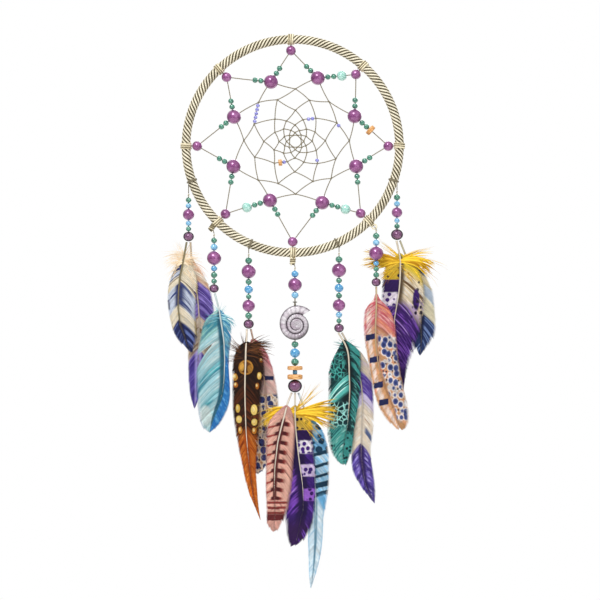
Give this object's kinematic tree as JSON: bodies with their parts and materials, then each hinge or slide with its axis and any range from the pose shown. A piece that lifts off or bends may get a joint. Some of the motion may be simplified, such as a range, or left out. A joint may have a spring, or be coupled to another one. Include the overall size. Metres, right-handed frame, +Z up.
{
  "type": "dream catcher",
  "caption": "Cord-wrapped ring with a beaded thread web, hanging bead strands and painted feathers, and a small fossil-shell charm, for hanging on a wall or window.",
  "frame": {"origin": "middle of the wrapped ring's tube at its top, where the dream catcher hangs", "axes": "+Z up, the ring's plane is XZ, +X to the right seen from the front, the front faces -Y"},
  "size_m": [0.1885, 0.0187, 0.3881],
  "materials": {
    "ring_steel": "satin",
    "wrap_cord": "matte",
    "web_thread": "matte",
    "plum_pearl": "gloss",
    "dark_pearl": "gloss",
    "green_glass": "gloss",
    "pale_glass": "gloss",
    "turned_wood": "satin",
    "fossil_stone": "satin",
    "cream_navy_feather": "satin",
    "peach_violet_feather": "satin",
    "sky_blue_feather": "satin",
    "brown_spotted_feather": "satin",
    "pink_navy_feather": "satin",
    "dusty_rose_feather": "satin",
    "purple_spotted_feather": "satin",
    "blue_barred_feather": "satin",
    "teal_feather": "satin",
    "cream_purple_feather": "satin",
    "peach_spotted_feather": "satin",
    "yellow_purple_feather": "satin",
    "slate_navy_feather": "satin"
  },
  "bodies": {
    "hoop": {"hoop_ring": "ring_steel", "hoop_wrap": "wrap_cord", "web_lashings": "wrap_cord", "strand_ties": "wrap_cord", "web_first_round": "web_thread", "web_inner_rounds": "web_thread", "web_pearls": "plum_pearl", "web_green_beads": "green_glass", "web_glass_beads": "pale_glass", "web_wood_beads": "turned_wood"},
    "far_left_strand_knot": {"far_left_strand_knot": "web_thread"},
    "far_left_strand": {"far_left_strand_cord": "web_thread", "far_left_strand_pearls": "plum_pearl", "far_left_strand_seed_beads": "green_glass", "far_left_strand_end_bead": "dark_pearl"},
    "cream_navy_feather": {"cream_navy_feather": "cream_navy_feather"},
    "peach_violet_feather": {"peach_violet_feather": "peach_violet_feather"},
    "left_strand_knot": {"left_strand_knot": "web_thread"},
    "left_strand": {"left_strand_cord": "web_thread", "left_strand_pearls": "plum_pearl", "left_strand_seed_beads": "green_glass", "left_strand_end_bead": "dark_pearl"},
    "sky_blue_feather": {"sky_blue_feather": "sky_blue_feather"},
    "inner_left_strand_knot": {"inner_left_strand_knot": "web_thread"},
    "inner_left_strand": {"inner_left_strand_cord": "web_thread", "inner_left_strand_pearls": "plum_pearl", "inner_left_strand_seed_beads": "green_glass", "inner_left_strand_end_bead": "dark_pearl"},
    "brown_spotted_feather": {"brown_spotted_feather": "brown_spotted_feather"},
    "pink_navy_feather": {"pink_navy_feather": "pink_navy_feather"},
    "centre_strand_knot": {"centre_strand_knot": "web_thread"},
    "centre_strand": {"centre_strand_cord": "web_thread", "centre_strand_pearls": "plum_pearl", "centre_strand_seed_beads": "green_glass", "centre_strand_end_bead": "dark_pearl", "wood_spacers": "turned_wood"},
    "dusty_rose_feather": {"dusty_rose_feather": "dusty_rose_feather"},
    "purple_spotted_feather": {"purple_spotted_feather": "purple_spotted_feather"},
    "blue_barred_feather": {"blue_barred_feather": "blue_barred_feather"},
    "inner_right_strand_knot": {"inner_right_strand_knot": "web_thread"},
    "inner_right_strand": {"inner_right_strand_cord": "web_thread", "inner_right_strand_pearls": "plum_pearl", "inner_right_strand_seed_beads": "green_glass", "inner_right_strand_end_bead": "dark_pearl"},
    "teal_feather": {"teal_feather": "teal_feather"},
    "cream_purple_feather": {"cream_purple_feather": "cream_purple_feather"},
    "right_strand_knot": {"right_strand_knot": "web_thread"},
    "right_strand": {"right_strand_cord": "web_thread", "right_strand_pearls": "plum_pearl", "right_strand_seed_beads": "green_glass", "right_strand_end_bead": "dark_pearl"},
    "peach_spotted_feather": {"peach_spotted_feather": "peach_spotted_feather"},
    "far_right_strand_knot": {"far_right_strand_knot": "web_thread"},
    "far_right_strand": {"far_right_strand_cord": "web_thread", "far_right_strand_pearls": "plum_pearl", "far_right_strand_seed_beads": "green_glass", "far_right_strand_end_bead": "dark_pearl"},
    "yellow_purple_feather": {"yellow_purple_feather": "yellow_purple_feather"},
    "slate_navy_feather": {"slate_navy_feather": "slate_navy_feather"},
    "ammonite_pendant": {"ammonite_pendant": "fossil_stone"}
  },
  "joints": [
    {"name": "far_left_strand_backward", "type": "hinge", "parent": "hoop", "child": "far_left_strand_knot", "pos_m": [-0.073, 0.0025, -0.1089], "axis": [1, 0, 0], "range_deg": [0, 20]},
    {"name": "far_left_strand_sway", "type": "hinge", "parent": "far_left_strand_knot", "child": "far_left_strand", "pos_m": [-0.073, 0.0025, -0.1089], "axis": [0, 1, 0], "range_deg": [-5, 5]},
    {"name": "cream_navy_lift", "type": "hinge", "parent": "far_left_strand", "child": "cream_navy_feather", "pos_m": [-0.0743, 0.0017, -0.1419], "axis": [-1, 0, 0], "range_deg": [0, 15]},
    {"name": "peach_violet_lift", "type": "hinge", "parent": "far_left_strand", "child": "peach_violet_feather", "pos_m": [-0.0717, 0.0033, -0.1419], "axis": [1, 0, 0], "range_deg": [0, 15]},
    {"name": "left_strand_forward", "type": "hinge", "parent": "hoop", "child": "left_strand_knot", "pos_m": [-0.055, -0.001, -0.1372], "axis": [-1, 0, 0], "range_deg": [0, 20]},
    {"name": "left_strand_sway", "type": "hinge", "parent": "left_strand_knot", "child": "left_strand", "pos_m": [-0.055, -0.001, -0.1372], "axis": [0, 1, 0], "range_deg": [-5, 5]},
    {"name": "sky_blue_lift", "type": "hinge", "parent": "left_strand", "child": "sky_blue_feather", "pos_m": [-0.0545, -0.0013, -0.1779], "axis": [-1, 0, 0], "range_deg": [0, 15]},
    {"name": "inner_left_strand_backward", "type": "hinge", "parent": "hoop", "child": "inner_left_strand_knot", "pos_m": [-0.0308, -0.0015, -0.151], "axis": [1, 0, 0], "range_deg": [0, 20]},
    {"name": "inner_left_strand_sway", "type": "hinge", "parent": "inner_left_strand_knot", "child": "inner_left_strand", "pos_m": [-0.0308, -0.0015, -0.151], "axis": [0, 1, 0], "range_deg": [-5, 5]},
    {"name": "brown_spotted_lift", "type": "hinge", "parent": "inner_left_strand", "child": "brown_spotted_feather", "pos_m": [-0.0321, -0.0023, -0.2031], "axis": [-1, 0, 0], "range_deg": [0, 15]},
    {"name": "pink_navy_lift", "type": "hinge", "parent": "inner_left_strand", "child": "pink_navy_feather", "pos_m": [-0.0295, -0.0007, -0.2031], "axis": [1, 0, 0], "range_deg": [0, 15]},
    {"name": "centre_strand_forward", "type": "hinge", "parent": "hoop", "child": "centre_strand_knot", "pos_m": [0.0016, -0.003, -0.1603], "axis": [-1, 0, 0], "range_deg": [0, 20]},
    {"name": "centre_strand_sway", "type": "hinge", "parent": "centre_strand_knot", "child": "centre_strand", "pos_m": [0.0016, -0.003, -0.1603], "axis": [0, 1, 0], "range_deg": [-5, 5]},
    {"name": "dusty_rose_lift", "type": "hinge", "parent": "centre_strand", "child": "dusty_rose_feather", "pos_m": [-0.0005, -0.0042, -0.2476], "axis": [-1, 0, 0], "range_deg": [0, 15]},
    {"name": "purple_spotted_sway", "type": "hinge", "parent": "centre_strand", "child": "purple_spotted_feather", "pos_m": [0.0016, -0.003, -0.2476], "axis": [0, 1, 0], "range_deg": [-4, 4]},
    {"name": "blue_barred_sway", "type": "hinge", "parent": "centre_strand", "child": "blue_barred_feather", "pos_m": [0.0037, -0.0018, -0.2476], "axis": [0, 1, 0], "range_deg": [-4, 4]},
    {"name": "inner_right_strand_backward", "type": "hinge", "parent": "hoop", "child": "inner_right_strand_knot", "pos_m": [0.0324, -0.0015, -0.1501], "axis": [1, 0, 0], "range_deg": [0, 20]},
    {"name": "inner_right_strand_sway", "type": "hinge", "parent": "inner_right_strand_knot", "child": "inner_right_strand", "pos_m": [0.0324, -0.0015, -0.1501], "axis": [0, 1, 0], "range_deg": [-5, 5]},
    {"name": "teal_sway", "type": "hinge", "parent": "inner_right_strand", "child": "teal_feather", "pos_m": [0.0315, -0.0023, -0.2057], "axis": [0, 1, 0], "range_deg": [-4, 4]},
    {"name": "cream_purple_lift", "type": "hinge", "parent": "inner_right_strand", "child": "cream_purple_feather", "pos_m": [0.034, -0.0007, -0.2057], "axis": [1, 0, 0], "range_deg": [0, 15]},
    {"name": "right_strand_forward", "type": "hinge", "parent": "hoop", "child": "right_strand_knot", "pos_m": [0.0584, -0.002, -0.1338], "axis": [-1, 0, 0], "range_deg": [0, 20]},
    {"name": "right_strand_sway", "type": "hinge", "parent": "right_strand_knot", "child": "right_strand", "pos_m": [0.0584, -0.002, -0.1338], "axis": [0, 1, 0], "range_deg": [-5, 5]},
    {"name": "peach_spotted_lift", "type": "hinge", "parent": "right_strand", "child": "peach_spotted_feather", "pos_m": [0.0584, -0.0023, -0.1735], "axis": [-1, 0, 0], "range_deg": [0, 15]},
    {"name": "far_right_strand_backward", "type": "hinge", "parent": "hoop", "child": "far_right_strand_knot", "pos_m": [0.0731, 0.0025, -0.1068], "axis": [1, 0, 0], "range_deg": [0, 20]},
    {"name": "far_right_strand_sway", "type": "hinge", "parent": "far_right_strand_knot", "child": "far_right_strand", "pos_m": [0.0731, 0.0025, -0.1068], "axis": [0, 1, 0], "range_deg": [-5, 5]},
    {"name": "yellow_purple_sway", "type": "hinge", "parent": "far_right_strand", "child": "yellow_purple_feather", "pos_m": [0.0725, 0.0017, -0.141], "axis": [0, 1, 0], "range_deg": [-4, 4]},
    {"name": "slate_navy_lift", "type": "hinge", "parent": "far_right_strand", "child": "slate_navy_feather", "pos_m": [0.0749, 0.0033, -0.141], "axis": [1, 0, 0], "range_deg": [0, 15]},
    {"name": "ammonite_flap", "type": "hinge", "parent": "centre_strand", "child": "ammonite_pendant", "pos_m": [0.0016, -0.003, -0.1842], "axis": [-1, 0, 0], "range_deg": [0, 20]}
  ]
}
